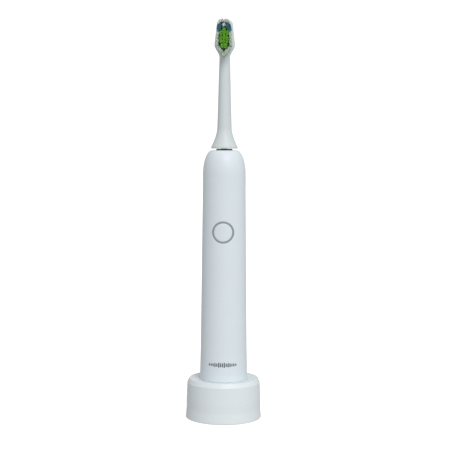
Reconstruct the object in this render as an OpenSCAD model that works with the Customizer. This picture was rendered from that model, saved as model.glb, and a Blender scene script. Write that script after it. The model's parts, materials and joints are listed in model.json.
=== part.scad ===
// Electric toothbrush standing on its induction charger.
// Origin: centre of the footprint, on the surface that the rubber feet stand on.
// +Z points up along the common axis; the button and the bristles face -Y.

/* [Charger] */
// Radius of the charger at its foot
charger_foot_r = 23.6; // [23.4:0.1:25]
// Radius of the charger at its upper edge
charger_top_r = 22.7; // [22:0.1:22.9]
// Height of the charger's rim above the surface it stands on
charger_h = 25.2; // [24.6:0.2:26]
// Depth that the charger's top face sinks to, from the rim in to the handle
charger_dish = 0.6; // [0.3:0.1:0.8]
// Radius of the charging post
post_r = 4.2; // [4:0.1:4.3]
// Height of the charging post above the seat
post_h = 9.1; // [7:0.1:9.5]
// Height of the rubber feet below the base plate
foot_gap = 0.5; // [0.4:0.1:1]

/* [Handle] */
// Radius of the handle at its lower end
handle_foot_r = 14.8; // [14.6:0.1:15.2]
// Radius of the handle where the shoulder starts
handle_shoulder_r = 13.2; // [13.1:0.1:13.5]
// Radius of the flat at the handle's upper end
handle_top_r = 7.6; // [7.4:0.1:8.2]
// Length of the handle
handle_len = 142.5; // [141.9:0.2:147.1]
// Height of the rounded shoulder
shoulder_h = 15; // [14:0.2:16]
// Height of the button's centre above the handle's lower end
button_rise = 92.4; // [90:0.2:94]
// Outer radius of the soft ring around the button
ring_r = 6.7; // [6.6:0.1:6.8]

/* [Brush head] */
// Gap between the handle's upper end and the brush head's skirt
head_gap = 1.1; // [1:0.1:1.4]
// Radius of the skirt's lower edge
skirt_r = 8.15; // [8:0.05:8.6]
// Length of the brush head from the skirt's edge to its tip
head_len = 78.6; // [78.4:0.2:80]
// Half the widest width of the bristle plate
plate_half_w = 6.35; // [6.2:0.05:6.6]
// Length of the bristles in front of the plate
bristle_len = 9.6; // [8:0.2:11]

/* [Motion] */
// Travel of the power button
button_travel = 0.5; // [0.3:0.05:0.55]
// Running clearance of the shaft in its bearings
shaft_play = 0.03; // [0.02:0.01:0.08]

/* [Hidden] */

$fn = 96;
blend_fn = 32;

// Small gaps between pieces that are fixed to each other
fit = 0.02;
slip = 0.05;
// Overshoot of a cutting shape past the face it cuts
past = 1;

// Charger, from its feet up
charger_wall = 1.8;
charger_rim_w = 1.2;
charger_rim_h = 2.7;
charger_edge = 0.2;
charger_flare_h = 6.2;
charger_belly_r = charger_top_r + 0.35;
charger_inner_r = charger_top_r - charger_wall;
charger_mouth_r = charger_inner_r + 0.4;
foot_chamfer = 0.3;
plate_h = 1.8;
plate_top = foot_gap + plate_h;
charger_low_z = charger_h - charger_dish;
dish_r = handle_foot_r + 0.4;
seat_h = 0.1;
seat_r = handle_foot_r - 0.3;
charger_roof = charger_low_z - 2;
foot_r = 3.2;
foot_sink = 0.4;
foot_ring_r = 16.4;
feet = 4;
screws = 4;
screw_ring_r = 15.6;
screw_first = 45;
boss_r = 2.6;
pilot_r = 0.9;
screw_head_r = 1.9;
screw_head_h = 1.0;
screw_len = 6;
slot_w = 0.5;
slot_depth = 0.5;
post_wall = 1.2;
post_root = 0.5;
post_dome = 1.2;
post_top = charger_low_z + seat_h + post_h;
core_r = 2.6;
core_bottom = 6.6;
bobbin_r = 9.6;
bobbin_bottom = 8.4;
bobbin_top = charger_roof - 0.6;
flange_t = 0.9;
coil_wall = 0.9;
board_bottom = 4.6;
board_t = 1.2;
board_r = 13.2;
// Distance of the capacitor and the transistor from the axis
part_ring_r = 11.5;
gland_z = 10;
gland_r = 2.8;
gland_bore_r = 1.7;
gland_len = 5.6;
gland_flange_r = 3.8;
gland_flange_t = 1.2;
gland_face_y = charger_belly_r - 0.35;
gland_back_y = gland_face_y - gland_len;
// The side is upright past the cord gland and tapers above this height
charger_taper_z = gland_z + 2.5;

// Handle, from its lower end up
handle_z = charger_low_z + seat_h;
handle_top = handle_z + handle_len;
shoulder_z = handle_top - shoulder_h;
waist_z = handle_z + 22;
waist_r = handle_shoulder_r + 1.15;
handle_wall = 2;
handle_edge = 0.3;
cap_bore_r = 12.9;
cap_h = 3.4;
cap_lip_h = 8;
well_r = 4.9;
well_wall = 1.2;
well_roof = 1.4;
well_chamfer = 0.8;
well_top = post_top + 1;
seal_groove_z = handle_z + 4.6;
seal_groove_h = 1.6;
seal_groove_depth = 0.9;
coil_r = 9.4;
receiver_bore_r = well_r + well_wall + slip;
receiver_r = receiver_bore_r + 0.7;
receiver_bottom = handle_z + cap_h + 1.8;
receiver_top = well_top + well_roof - 0.6;
battery_r = 7;
battery_len = 50;
battery_z = handle_z + 34.6;
battery_tip_r = 2.4;
tab_t = 0.4;
pcb_front = -6.7;
pcb_t = 1.2;
pcb_back = pcb_front + pcb_t;
pcb_half_w = 7;
pcb_bottom = handle_z + 22.6;
pcb_top = handle_z + 98.6;
chassis_wall = 0.9;
chassis_bottom = handle_z + 16;
chassis_top = handle_z + 99.6;
chassis_front = 1.5;
// The chassis clears the shell's taper at the chassis's upper end
chassis_r = handle_r(chassis_top) - handle_wall - chassis_wall - fit;
battery_y = chassis_r - battery_r - 0.1;
rib_t = 1.6;
board_pilot_r = 0.7;
boss_y = 0.6;
// Where the circuit board is screwed to the chassis: [x, height]
board_screws = [[0, handle_z + 27], [5, handle_z + 91.6]];
button_z = handle_z + button_rise;
// A plane just in front of the handle
outside_y = -handle_foot_r - past;
cap_r = ring_r - 1.05;
cap_back = -11.6;
plunger_r = 1.5;
plunger_play = 0.06;
switch_half = 3;
switch_front = -8.5;
switch_floor = -7.0;
plunger_end = switch_floor - 0.12 - button_travel;
ring_back = -8.2;
ring_flange_r = 7.3;
diaphragm_t = 0.6;
diaphragm_y = -9.6;

// Motor and shaft
motor_r = 8;
motor_wall = 0.8;
motor_z = handle_z + 102.6;
motor_len = 30;
motor_top = motor_z + motor_len;
bearing_r = 4.2;
bearing_t = 2.6;
shaft_r = 1.95;
rotor_r = 3.9;
rotor_len = 17;
rotor_z = motor_z + 6.5;
magnet_t = 0.9;
magnet_sweep = 80;
stator_t = 1.3;
cushion_t = 3;
cushion_r = 10.9;
seal_r = 5.0;
seal_lip_r = 6.4;
seal_top = handle_top + head_gap - 0.25;
shaft_bottom = motor_z + 0.4;
shaft_top = handle_top + 19;
flat_depth = 0.6;
flat_z = handle_top + 6;

// Brush head
head_z = handle_top + head_gap;
head_top = head_z + head_len;
skirt_rim = 1;
skirt_h = 11.5;
skirt_wall = 1.1;
skirt_top = head_z + skirt_rim + skirt_h;
skirt_power = 1.6;
neck_r = 4.45;
// Neck above the skirt: [radius, height above the skirt's edge]
NECK = [[4.12, 22], [3.72, 38], [3.25, 55]];
insert_r = 3.0;
insert_z = head_z + 4;
insert_top = shaft_top + 2.6;
clip_r = 4.0;
clip_z = insert_z + 1.4;
clip_t = 0.7;
clip_gap = 70;
plate_back = 2.1;
plate_front = -2.1;
plate_edge = 0.7;
plate_low_z = head_z + 58;
plate_wide_z = head_z + 63.4;
plate_tip_z = head_top - 2.4;
tuft_hole = 2.4;
tuft_play = 0.02;

// Tufts: [x, height above the skirt's edge, width, length, tilt]
TUFTS_WHITE = [
    [-1.75, 76.9, 1.9, 3.2, 76],
    [1.75, 76.9, 1.9, 3.2, -76],
    [0, 74.4, 1.9, 2.0, 0]
];
TUFTS_BLUE = [
    [-3.0, 73.4, 2.5, 4.2, 12],
    [3.0, 73.4, 2.5, 4.2, -12]
];
TUFTS_GREEN = [
    [0, 70.9, 1.7, 4.2, 0],
    [-1.85, 69.9, 1.5, 3.0, 0],
    [1.85, 69.9, 1.5, 3.0, 0],
    [0, 66.3, 1.7, 4.2, 0],
    [-1.85, 66.0, 1.5, 4.0, 0],
    [1.85, 66.0, 1.5, 4.0, 0],
    [-0.95, 62.3, 1.6, 3.0, 0],
    [0.95, 62.3, 1.6, 3.0, 0]
];
TUFTS_PALE = [
    [-3.9, 68.6, 1.5, 3.6, 0],
    [3.9, 68.6, 1.5, 3.6, 0],
    [-4.1, 64.4, 1.5, 4.0, 0],
    [4.1, 64.4, 1.5, 4.0, 0],
    [-2.5, 60.1, 1.5, 4.4, -40],
    [1.5, 58.9, 1.5, 6.2, 42]
];
ALL_TUFTS = concat(TUFTS_WHITE, TUFTS_BLUE, TUFTS_GREEN, TUFTS_PALE);

// ---------- shared outlines and helpers ----------

// Points of a quarter ellipse from a vertical tangent to a level one
function quarter(r0, z0, r1, z1, step = 10) =
    [for (a = [0:step:90]) [r1 + (r0 - r1) * cos(a), z0 + (z1 - z0) * sin(a)]];

// Radius of the handle's outside at height z, up to the shoulder
function handle_r(z) = z < waist_z
    ? handle_foot_r + (waist_r - handle_foot_r) * (z - handle_z) / (waist_z - handle_z)
    : waist_r + (handle_shoulder_r - waist_r) * (z - waist_z) / (shoulder_z - waist_z);

// Outside of the handle, from its lower edge to its flat top
HANDLE_OUTLINE = concat(
    [[handle_foot_r - handle_edge, handle_z], [handle_foot_r, handle_z + handle_edge]],
    [[waist_r, waist_z]],
    quarter(handle_shoulder_r, shoulder_z, handle_top_r, handle_top)
);

module turned(points) {
    rotate_extrude() polygon(points);
}

module tube(r_out, r_in, h) {
    difference() {
        cylinder(r = r_out, h = h);
        translate([0, 0, -past]) cylinder(r = r_in, h = h + 2 * past);
    }
}

// Cylinder along +Y from y0 to y1 at height z
module rod_y(r, y0, y1, x = 0, z = 0) {
    translate([x, y0, z]) rotate([-90, 0, 0]) cylinder(r = r, h = y1 - y0);
}

module around(count, ring, first = 0) {
    for (i = [0:count - 1]) {
        rotate([0, 0, first + i * 360 / count]) translate([ring, 0, 0]) children();
    }
}

// Block that takes away all that lies in front of a plane across Y, from z up
module in_front_of(y, z, h) {
    translate([-handle_foot_r, -2 * handle_foot_r, z - past]) {
        cube([2 * handle_foot_r, 2 * handle_foot_r + y, h + 2 * past]);
    }
}

module handle_solid() {
    turned(concat([[0, handle_z]], HANDLE_OUTLINE, [[0, handle_top]]));
}

// ---------- charger ----------

module charger_housing() {
    rim_top_r = charger_top_r - charger_rim_w;
    outline = concat(
        [[charger_mouth_r, foot_gap], [charger_foot_r - foot_chamfer, foot_gap]],
        [[charger_foot_r, foot_gap + foot_chamfer], [charger_belly_r, foot_gap + charger_flare_h]],
        [[charger_belly_r, charger_taper_z]],
        [[charger_top_r, charger_h - charger_rim_h]],
        quarter(rim_top_r, charger_h - charger_edge, rim_top_r - charger_edge, charger_h, 30),
        [[dish_r, charger_low_z], [seat_r + seat_h, charger_low_z], [seat_r, handle_z]],
        [[post_r + post_root, handle_z], [post_r, handle_z + post_root]],
        quarter(post_r, post_top - post_dome, post_r - post_dome, post_top, 15),
        [[0, post_top], [0, post_top - post_wall], [post_r - post_wall, post_top - post_wall]],
        [[post_r - post_wall, charger_roof], [charger_inner_r, charger_roof]],
        [[charger_inner_r, plate_top + 1], [charger_mouth_r, plate_top + 1]]
    );
    color("whitesmoke") difference() {
        union() {
            turned(outline);
            around(screws, screw_ring_r, screw_first) {
                translate([0, 0, plate_top]) cylinder(r = boss_r, h = charger_roof - plate_top + 0.5);
            }
        }
        around(screws, screw_ring_r, screw_first) {
            translate([0, 0, plate_top - past]) cylinder(r = pilot_r, h = screw_len + past);
        }
        rod_y(gland_r + fit, charger_inner_r - 2, charger_foot_r + past, z = gland_z);
    }
}

module charger_base_plate() {
    color("gainsboro") difference() {
        translate([0, 0, foot_gap]) cylinder(r = charger_mouth_r - slip, h = plate_h);
        around(feet, foot_ring_r, 0) {
            translate([0, 0, foot_gap - past]) cylinder(r = foot_r + slip, h = foot_sink + past);
        }
        around(screws, screw_ring_r, screw_first) {
            translate([0, 0, foot_gap - past]) {
                cylinder(r = screw_head_r + 0.2, h = screw_head_h + past);
                cylinder(r = pilot_r + 0.2, h = plate_h + 2 * past);
            }
        }
    }
}

module rubber_feet() {
    color("dimgray") around(feet, foot_ring_r, 0) {
        cylinder(r1 = foot_r - foot_chamfer, r2 = foot_r, h = foot_chamfer);
        translate([0, 0, foot_chamfer]) cylinder(r = foot_r, h = foot_gap + foot_sink - foot_chamfer);
    }
}

module base_screws() {
    head_top = foot_gap + screw_head_h;
    color("silver") around(screws, screw_ring_r, screw_first) {
        difference() {
            translate([0, 0, foot_gap]) cylinder(r = screw_head_r, h = screw_head_h);
            for (turn = [0, 90]) {
                rotate([0, 0, turn]) translate([-1.2, -slot_w / 2, foot_gap - past]) {
                    cube([2.4, slot_w, past + slot_depth]);
                }
            }
        }
        translate([0, 0, head_top]) cylinder(r = pilot_r - fit, h = screw_len - screw_head_h);
    }
}

module cord_gland() {
    color("gray") difference() {
        union() {
            rod_y(gland_r, gland_back_y, gland_face_y, z = gland_z);
            rod_y(gland_flange_r, gland_back_y, gland_back_y + gland_flange_t, z = gland_z);
        }
        rod_y(gland_bore_r, gland_back_y - past, gland_face_y + past, z = gland_z);
    }
}

module ferrite_core() {
    color("darkslategray") translate([0, 0, core_bottom]) {
        cylinder(r = core_r, h = post_top - post_wall - 0.4 - core_bottom);
    }
}

module primary_bobbin() {
    inner = core_r + slip;
    color("ivory") translate([0, 0, bobbin_bottom]) {
        tube(inner + coil_wall, inner, bobbin_top - bobbin_bottom);
        tube(bobbin_r, inner, flange_t);
        translate([0, 0, bobbin_top - bobbin_bottom - flange_t]) tube(bobbin_r, inner, flange_t);
    }
}

module primary_coil() {
    low = bobbin_bottom + flange_t + fit;
    high = bobbin_top - flange_t - fit;
    color("peru") translate([0, 0, low]) tube(bobbin_r - 0.6, core_r + slip + coil_wall + fit, high - low);
}

module charger_pcb() {
    color("seagreen") difference() {
        translate([0, 0, board_bottom]) cylinder(r = board_r, h = board_t);
        around(screws, screw_ring_r, screw_first) {
            translate([0, 0, board_bottom - past]) cylinder(r = boss_r + 0.3, h = board_t + 2 * past);
        }
    }
}

module charger_capacitor() {
    color("midnightblue") translate([-part_ring_r, 0, board_bottom + board_t]) {
        cylinder(r = 1.6, h = 9);
    }
}

module charger_transistor() {
    leg_h = 1.6;
    color("black") translate([part_ring_r, 0, board_bottom + board_t]) {
        translate([-0.9, -2, leg_h - 0.1]) cube([1.8, 4, 4.5]);
        for (y = [-1.2, 0, 1.2]) {
            translate([-0.25, y - 0.2, 0]) cube([0.5, 0.4, leg_h]);
        }
    }
}

// ---------- handle ----------

module handle_shell() {
    step_z = handle_z + cap_lip_h + 2;
    inner_r = handle_shoulder_r - handle_wall;
    roof = handle_top - handle_wall;
    roof_r = 7;
    dome = quarter(inner_r, shoulder_z, roof_r, roof, 15);
    outline = concat(
        [[cap_bore_r, handle_z]],
        HANDLE_OUTLINE,
        [[seal_r + fit, handle_top], [seal_r + fit, roof]],
        [for (i = [len(dome) - 1:-1:0]) dome[i]],
        [[waist_r - handle_wall, waist_z], [handle_r(step_z) - handle_wall, step_z]],
        [[cap_bore_r, handle_z + cap_lip_h]]
    );
    color("white") difference() {
        turned(outline);
        rod_y(ring_r + fit, outside_y, -9, z = button_z);
    }
}

module end_cap() {
    rim_r = cap_bore_r - slip;
    sleeve_r = rim_r - 1.6;
    groove_r = rim_r - seal_groove_depth;
    wall_top = handle_z + cap_lip_h - 0.3;
    outline = [
        [well_r, handle_z + well_chamfer],
        [well_r + well_chamfer, handle_z],
        [rim_r, handle_z],
        [rim_r, seal_groove_z],
        [groove_r, seal_groove_z],
        [groove_r, seal_groove_z + seal_groove_h],
        [rim_r, seal_groove_z + seal_groove_h],
        [rim_r, wall_top],
        [sleeve_r, wall_top],
        [sleeve_r, handle_z + cap_h],
        [well_r + well_wall, handle_z + cap_h],
        [well_r + well_wall, well_top + well_roof],
        [0, well_top + well_roof],
        [0, well_top],
        [well_r, well_top]
    ];
    color("whitesmoke") turned(outline);
}

module end_cap_seal() {
    inner = cap_bore_r - slip - seal_groove_depth + fit;
    color("dimgray") translate([0, 0, seal_groove_z + 0.1]) {
        tube(cap_bore_r - fit, inner, seal_groove_h - 0.2);
    }
}

module receiver_bobbin() {
    height = receiver_top - receiver_bottom;
    color("ivory") translate([0, 0, receiver_bottom]) {
        tube(receiver_r, receiver_bore_r, height);
        tube(coil_r, receiver_bore_r, flange_t);
        translate([0, 0, height - flange_t]) tube(coil_r, receiver_bore_r, flange_t);
    }
}

module receiver_coil() {
    low = receiver_bottom + flange_t + fit;
    high = receiver_top - flange_t - fit;
    color("peru") translate([0, 0, low]) tube(coil_r - 0.5, receiver_r + fit, high - low);
}

module coil_leads() {
    color("peru") for (x = [-4, 4]) {
        translate([x, pcb_front + pcb_t / 2, receiver_top]) cylinder(r = 0.35, h = pcb_bottom - receiver_top);
    }
}

// Open tray behind the battery, with ribs across it and two screw bosses
module chassis() {
    height = chassis_top - chassis_bottom;
    rib_zs = [chassis_bottom, battery_z - 2.4, battery_z + battery_len + 3, chassis_top - rib_t];
    color("darkgray") difference() {
        union() {
            difference() {
                translate([0, 0, chassis_bottom]) tube(chassis_r + chassis_wall, chassis_r, height);
                in_front_of(chassis_front, chassis_bottom, height);
            }
            for (z = rib_zs) {
                difference() {
                    translate([0, 0, z]) cylinder(r = chassis_r + 0.4, h = rib_t);
                    in_front_of(pcb_back + fit, z, rib_t);
                }
            }
            for (spot = board_screws) {
                rod_y(2, pcb_back + fit, boss_y + 2, spot[0], spot[1]);
                translate([spot[0] - 1, boss_y, spot[1] - 1]) cube([2, chassis_r - 1.2 - boss_y, 2]);
            }
        }
        for (spot = board_screws) rod_y(board_pilot_r, pcb_back - past, boss_y, spot[0], spot[1]);
    }
}

module chassis_screws() {
    color("silver") for (spot = board_screws) translate([spot[0], 0, spot[1]]) {
        difference() {
            rod_y(1.6, pcb_front - 0.9, pcb_front);
            translate([-1.1, pcb_front - 0.9 - past, -0.2]) cube([2.2, past + 0.4, 0.4]);
        }
        rod_y(board_pilot_r - fit, pcb_front, boss_y - 0.4);
    }
}

module battery_cell() {
    color("steelblue") translate([0, battery_y, battery_z]) {
        turned([
            [0, 0], [battery_r - 0.5, 0], [battery_r, 0.5],
            [battery_r, battery_len - 1], [battery_r - 0.5, battery_len - 0.5],
            [battery_tip_r, battery_len - 0.5], [battery_tip_r, battery_len + 1],
            [0, battery_len + 1]
        ]);
    }
}

module battery_tabs() {
    reach = battery_y - pcb_back;
    color("silver") for (z = [battery_z - tab_t, battery_z + battery_len + 1]) {
        translate([0, battery_y, z]) cylinder(r = 2.2, h = tab_t);
        translate([-1.5, pcb_back, z]) cube([3, reach, tab_t]);
    }
}

module main_pcb() {
    color("seagreen") difference() {
        translate([-pcb_half_w, pcb_front, pcb_bottom]) {
            cube([2 * pcb_half_w, pcb_t, pcb_top - pcb_bottom]);
        }
        for (spot = board_screws) rod_y(0.9, pcb_front - past, pcb_back + past, spot[0], spot[1]);
    }
}

module control_chip() {
    chip_z = battery_z + 26;
    color("black") translate([-2.5, pcb_front - 1, chip_z]) cube([5, 1, 6]);
    color("silver") for (i = [0:4], side = [-1, 1]) {
        translate([side * 2.9 - 0.4, pcb_front - 0.5, chip_z + 0.4 + i * 1.2]) cube([0.8, 0.5, 0.4]);
    }
}

module pcb_capacitor() {
    color("midnightblue") rod_y(1.5, pcb_front - 2.4, pcb_front, x = 3, z = battery_z + 40);
}

module tact_switch() {
    color("black") difference() {
        translate([-switch_half, switch_front, button_z - switch_half]) {
            cube([2 * switch_half, pcb_front - switch_front, 2 * switch_half]);
        }
        rod_y(plunger_r + plunger_play, switch_front - past, switch_floor, z = button_z);
    }
}

module button_seal_ring() {
    color("slategray") difference() {
        union() {
            intersection() {
                rod_y(ring_r, outside_y, ring_back, z = button_z);
                handle_solid();
            }
            rod_y(ring_flange_r, ring_back - 0.6, ring_back, z = button_z);
        }
        rod_y(cap_r + slip, outside_y, diaphragm_y, z = button_z);
        rod_y(cap_r + slip, diaphragm_y + diaphragm_t, ring_back + past, z = button_z);
        rod_y(plunger_r + plunger_play, outside_y, ring_back + past, z = button_z);
    }
}

module motor_can() {
    color("silver") translate([0, 0, motor_z]) difference() {
        cylinder(r = motor_r, h = motor_len);
        translate([0, 0, -past]) cylinder(r = motor_r - motor_wall, h = motor_len - bearing_t + past);
        cylinder(r = bearing_r + fit, h = motor_len + past);
    }
}

module motor_end_bell() {
    color("dimgray") translate([0, 0, motor_z]) tube(motor_r - motor_wall - fit, bearing_r + fit, bearing_t);
}

module rear_bearing() {
    color("goldenrod") translate([0, 0, motor_z]) tube(bearing_r, shaft_r + shaft_play, bearing_t);
}

module front_bearing() {
    low = motor_top - bearing_t;
    color("goldenrod") translate([0, 0, low]) tube(bearing_r, shaft_r + shaft_play, bearing_t);
}

module stator_coil() {
    outer = motor_r - motor_wall - fit;
    color("peru") translate([0, 0, rotor_z]) tube(outer, outer - stator_t, rotor_len);
}

module motor_cushions() {
    color("dimgray") for (z = [motor_z + 4, motor_top - cushion_t - 4]) {
        translate([0, 0, z]) tube(cushion_r, motor_r + fit, cushion_t);
    }
}

module motor_leads() {
    color("firebrick") for (x = [-3, 3]) {
        translate([x, pcb_front + pcb_t / 2, pcb_top]) cylinder(r = 0.4, h = motor_z - pcb_top);
    }
}

// Rubber seal around the shaft; its collar fills the middle of the gap under the brush head
module shaft_seal() {
    low = motor_top + 0.6;
    lip_top = handle_top - handle_wall - fit;
    color("dimgray") difference() {
        translate([0, 0, low]) {
            cylinder(r = seal_lip_r, h = lip_top - low);
            cylinder(r = seal_r, h = seal_top - low);
        }
        translate([0, 0, motor_top]) cylinder(r = shaft_r + shaft_play, h = seal_top - motor_top + past);
    }
}

// ---------- drive shaft ----------

// Round shaft whose upper end is cut flat on the front, so it can turn the brush head
module drive_shaft() {
    chamfer = 0.6;
    chamfer_z = shaft_top - chamfer;
    color("lightgray") difference() {
        union() {
            translate([0, 0, shaft_bottom]) cylinder(r = shaft_r, h = chamfer_z - shaft_bottom);
            translate([0, 0, chamfer_z]) cylinder(r1 = shaft_r, r2 = shaft_r - chamfer, h = chamfer);
        }
        translate([-shaft_r - past, -shaft_r - past, flat_z]) {
            cube([2 * (shaft_r + past), past + flat_depth, shaft_top - flat_z + past]);
        }
    }
}

module rotor_core() {
    color("slategray") translate([0, 0, rotor_z]) tube(rotor_r, shaft_r + fit, rotor_len);
}

module rotor_magnets() {
    inner = rotor_r + fit;
    color("dimgray") translate([0, 0, rotor_z]) for (side = [0, 180]) {
        rotate([0, 0, side - magnet_sweep / 2]) rotate_extrude(angle = magnet_sweep) {
            translate([inner, 0]) square([magnet_t, rotor_len]);
        }
    }
}

// ---------- power button ----------

module button_cap() {
    color("white") intersection() {
        rod_y(cap_r, outside_y, cap_back, z = button_z);
        handle_solid();
    }
}

module switch_plunger() {
    color("ivory") rod_y(plunger_r, cap_back, plunger_end, z = button_z);
}

// ---------- brush head ----------

// Hollow curve of the skirt's side, from its rim up into the neck; grow moves it outwards
function skirt_points(grow) =
    [for (t = [0:0.125:1]) [
        neck_r + grow + (skirt_r - neck_r) * pow(1 - t, skirt_power),
        head_z + skirt_rim + skirt_h * t
    ]];

// Long round outline lying in the plate's face, for a tuft or its hole
module tuft_rod(tuft, y0, y1, grow = 0) {
    half = (tuft[3] - tuft[2]) / 2;
    r = tuft[2] / 2 + grow;
    translate([tuft[0], 0, head_z + tuft[1]]) rotate([0, tuft[4], 0]) {
        translate([0, y0, 0]) rotate([-90, 0, 0]) linear_extrude(y1 - y0) {
            for (side = [-1, 1]) translate([0, side * half]) circle(r = r);
            translate([-r, -half]) square([2 * r, 2 * half]);
        }
    }
}

module tufts(list, reach = 0) {
    for (tuft = list) {
        tuft_rod(tuft, plate_front - bristle_len - reach, plate_front + tuft_hole);
    }
}

// Corner of the bristle plate: a disc with its edges taken off
module plate_corner(x, z, r) {
    rod_y(r - plate_edge, plate_front, plate_back, x, z, $fn = blend_fn);
    rod_y(r, plate_front + plate_edge, plate_back - plate_edge, x, z, $fn = blend_fn);
}

module bristle_plate() {
    low_r = 3.2;
    side_r = 3.4;
    tip_r = 2.4;
    hull() {
        plate_corner(0, plate_low_z, low_r);
        for (side = [-1, 1]) {
            plate_corner(side * (plate_half_w - side_r), plate_wide_z, side_r);
            plate_corner(side * 2.5, plate_tip_z, tip_r);
        }
    }
}

module brush_head_body() {
    outside = concat(
        [[0, head_z], [skirt_r - 0.3, head_z], [skirt_r, head_z + 0.3]],
        skirt_points(0),
        [for (p = NECK) [p[0], head_z + p[1]]],
        [[2, plate_wide_z], [0, plate_wide_z]]
    );
    hollow = concat(
        [[0, head_z - past], [skirt_r - skirt_wall, head_z - past]],
        skirt_points(-skirt_wall),
        [[insert_r + fit, skirt_top + 0.6], [insert_r + fit, insert_top], [0, insert_top]]
    );
    color("white") difference() {
        union() {
            turned(outside);
            bristle_plate();
        }
        turned(hollow);
        for (tuft = ALL_TUFTS) tuft_rod(tuft, plate_front - past, plate_front + tuft_hole, tuft_play);
    }
}

// Lining of the neck with a bore flattened on the front to match the shaft
module coupling_insert() {
    flat_y = -shaft_r + flat_depth - slip;
    color("gainsboro") difference() {
        translate([0, 0, insert_z]) cylinder(r = insert_r, h = insert_top - insert_z - fit);
        difference() {
            translate([0, 0, insert_z - past]) {
                cylinder(r = shaft_r + slip, h = shaft_top + 0.6 - insert_z + past);
            }
            translate([-5, flat_y - 5, flat_z + 0.5]) cube([10, 5, 40]);
        }
    }
}

module retaining_clip() {
    color("silver") rotate([0, 0, 90 + clip_gap / 2]) translate([0, 0, clip_z]) {
        rotate_extrude(angle = 360 - clip_gap) {
            translate([insert_r + fit, 0]) square([clip_r - insert_r, clip_t]);
        }
    }
}

module tufts_white() {
    color("gainsboro") tufts(TUFTS_WHITE, 0.8);
}

module tufts_green() {
    color("yellowgreen") tufts(TUFTS_GREEN, -0.4);
}

module tufts_pale() {
    color("honeydew") tufts(TUFTS_PALE, 0);
}

module tufts_blue() {
    color("teal") tufts(TUFTS_BLUE, 0.2);
}

charger_housing();
charger_base_plate();
rubber_feet();
base_screws();
cord_gland();
primary_coil();
primary_bobbin();
ferrite_core();
charger_pcb();
charger_capacitor();
charger_transistor();
handle_shell();
end_cap();
end_cap_seal();
chassis();
chassis_screws();
battery_cell();
battery_tabs();
main_pcb();
control_chip();
pcb_capacitor();
tact_switch();
button_seal_ring();
receiver_bobbin();
receiver_coil();
coil_leads();
motor_leads();
motor_can();
motor_end_bell();
stator_coil();
motor_cushions();
rear_bearing();
front_bearing();
shaft_seal();
drive_shaft();
rotor_core();
rotor_magnets();
button_cap();
switch_plunger();
brush_head_body();
coupling_insert();
retaining_clip();
tufts_white();
tufts_green();
tufts_pale();
tufts_blue();
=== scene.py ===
"""Electric toothbrush standing on its charger: the looks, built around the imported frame.

Lengths in the modelling code are millimetres and become metres when a mesh is made.
The button and the bristles face -Y.
"""
import json
import math
import random

import bmesh
import bpy
from mathutils import Matrix, Vector


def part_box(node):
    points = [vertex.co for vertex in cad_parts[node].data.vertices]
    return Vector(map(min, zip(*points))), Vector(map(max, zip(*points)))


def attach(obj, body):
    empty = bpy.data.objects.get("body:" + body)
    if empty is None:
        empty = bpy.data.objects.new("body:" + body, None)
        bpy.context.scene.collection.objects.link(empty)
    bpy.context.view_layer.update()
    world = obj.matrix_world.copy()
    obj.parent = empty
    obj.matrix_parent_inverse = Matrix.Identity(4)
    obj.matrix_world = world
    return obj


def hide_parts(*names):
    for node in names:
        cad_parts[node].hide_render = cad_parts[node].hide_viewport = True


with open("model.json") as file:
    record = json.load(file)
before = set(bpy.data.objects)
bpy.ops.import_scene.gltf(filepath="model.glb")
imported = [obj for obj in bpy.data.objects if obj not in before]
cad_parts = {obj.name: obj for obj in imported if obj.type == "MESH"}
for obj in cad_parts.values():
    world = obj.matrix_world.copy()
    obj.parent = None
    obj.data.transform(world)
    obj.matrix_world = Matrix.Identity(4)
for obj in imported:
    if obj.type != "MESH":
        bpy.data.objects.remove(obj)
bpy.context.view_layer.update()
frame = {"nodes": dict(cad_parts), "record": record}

MM = 0.001
# Sides that a turned piece can have its first column on, along Y
FRONT = -1
BACK = 1
# Columns of the large turned pieces
AROUND = 240
# A ring smaller than this is a single point on its axis
ON_AXIS = 1e-6
SEED = 7


def box_mm(node):
    """Lowest and highest corner of a CAD node, in millimetres."""
    low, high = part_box(node)
    return low / MM, high / MM


# ---------------------------------------------------------------- sizes from the frame

housing_low, housing_high = box_mm("charger_housing")
shell_low, shell_high = box_mm("handle_shell")
cap_low, cap_high = box_mm("button_cap")
seal_low, seal_high = box_mm("shaft_seal")
head_low, head_high = box_mm("brush_head_body")
gland_low, gland_high = box_mm("cord_gland")
plate_low, plate_high = box_mm("charger_base_plate")
ring_high = box_mm("button_seal_ring")[1]
feet_high = box_mm("rubber_feet")[1]
insert_high = box_mm("coupling_insert")[1]

HANDLE_Z = shell_low.z
HANDLE_TOP = shell_high.z
HANDLE_FOOT_R = shell_high.x
SHOULDER_Z = HANDLE_TOP - 15.0
SHOULDER_R = 13.2
SHOULDER_TOP_R = 7.6
WAIST_R = SHOULDER_R + 1.15
WAIST_Z = HANDLE_Z + 22
WALL = 2.0
END_CAP_R = 12.9
END_CAP_TOP = HANDLE_Z + 8
COLLAR_R = 5.0
MARK_Z = HANDLE_Z + 10.8

BUTTON_Z = (cap_low.z + cap_high.z) / 2
BUTTON_R = cap_high.x
RING_R = BUTTON_R + 1.05
RING_FLANGE_R = ring_high.x
RING_BACK = ring_high.y
PLUNGER_HOLE_R = 1.56

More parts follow.
